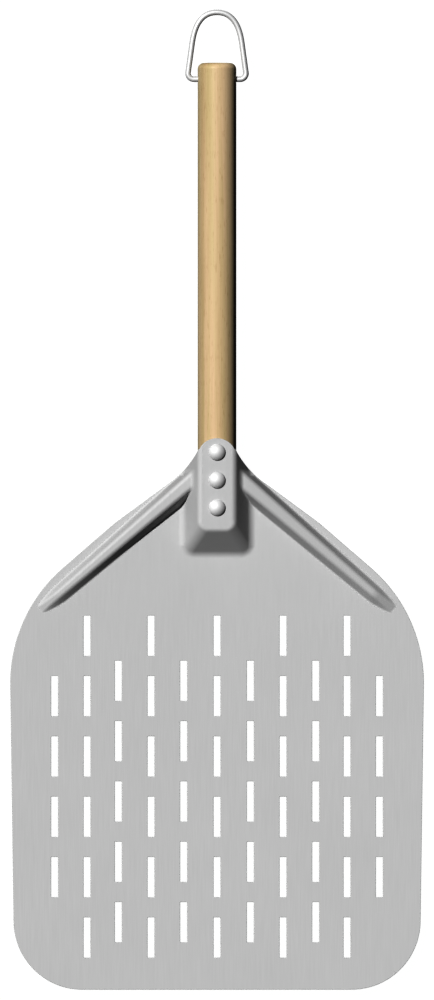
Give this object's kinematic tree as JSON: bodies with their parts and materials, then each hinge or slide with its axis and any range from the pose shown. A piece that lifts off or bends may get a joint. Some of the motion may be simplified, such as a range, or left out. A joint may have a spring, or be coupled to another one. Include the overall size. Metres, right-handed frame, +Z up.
{
  "type": "pizza peel",
  "caption": "Pizza peel: a slotted aluminium blade with a raised socket and stiffening ribs, riveted to a round wooden handle that ends in a swinging wire hanging loop.",
  "frame": {"origin": "middle of the whole length and width, at the height of the handle's lowest line", "axes": "+Y along the handle from the blade's front edge to the hanging loop, +X across the blade, +Z up on the side where the food lies"},
  "size_m": [0.305, 0.7228, 0.0344],
  "materials": {
    "blade_aluminium": "satin, matte anodised, very finely grained",
    "rivet_aluminium": "smooth, lightly polished dome heads",
    "washer_steel": "satin zinc-plated",
    "handle_wood": "sanded, lightly oiled light wood with fine straight grain",
    "loop_steel": "polished wire"
  },
  "bodies": {
    "peel": {"blade": "blade_aluminium", "handle": "handle_wood", "rivet_1": "rivet_aluminium", "rivet_2": "rivet_aluminium", "rivet_3": "rivet_aluminium", "rivet_washer_1": "washer_steel", "rivet_washer_2": "washer_steel", "rivet_washer_3": "washer_steel"},
    "loop": {"hanging_loop": "loop_steel"}
  },
  "joints": [
    {"name": "hanging_loop_hinge", "type": "hinge", "parent": "peel", "child": "loop", "pos_m": [0, 0.31005, 0.01415], "axis": [1, 0, 0], "range_deg": [-158, 158]}
  ]
}
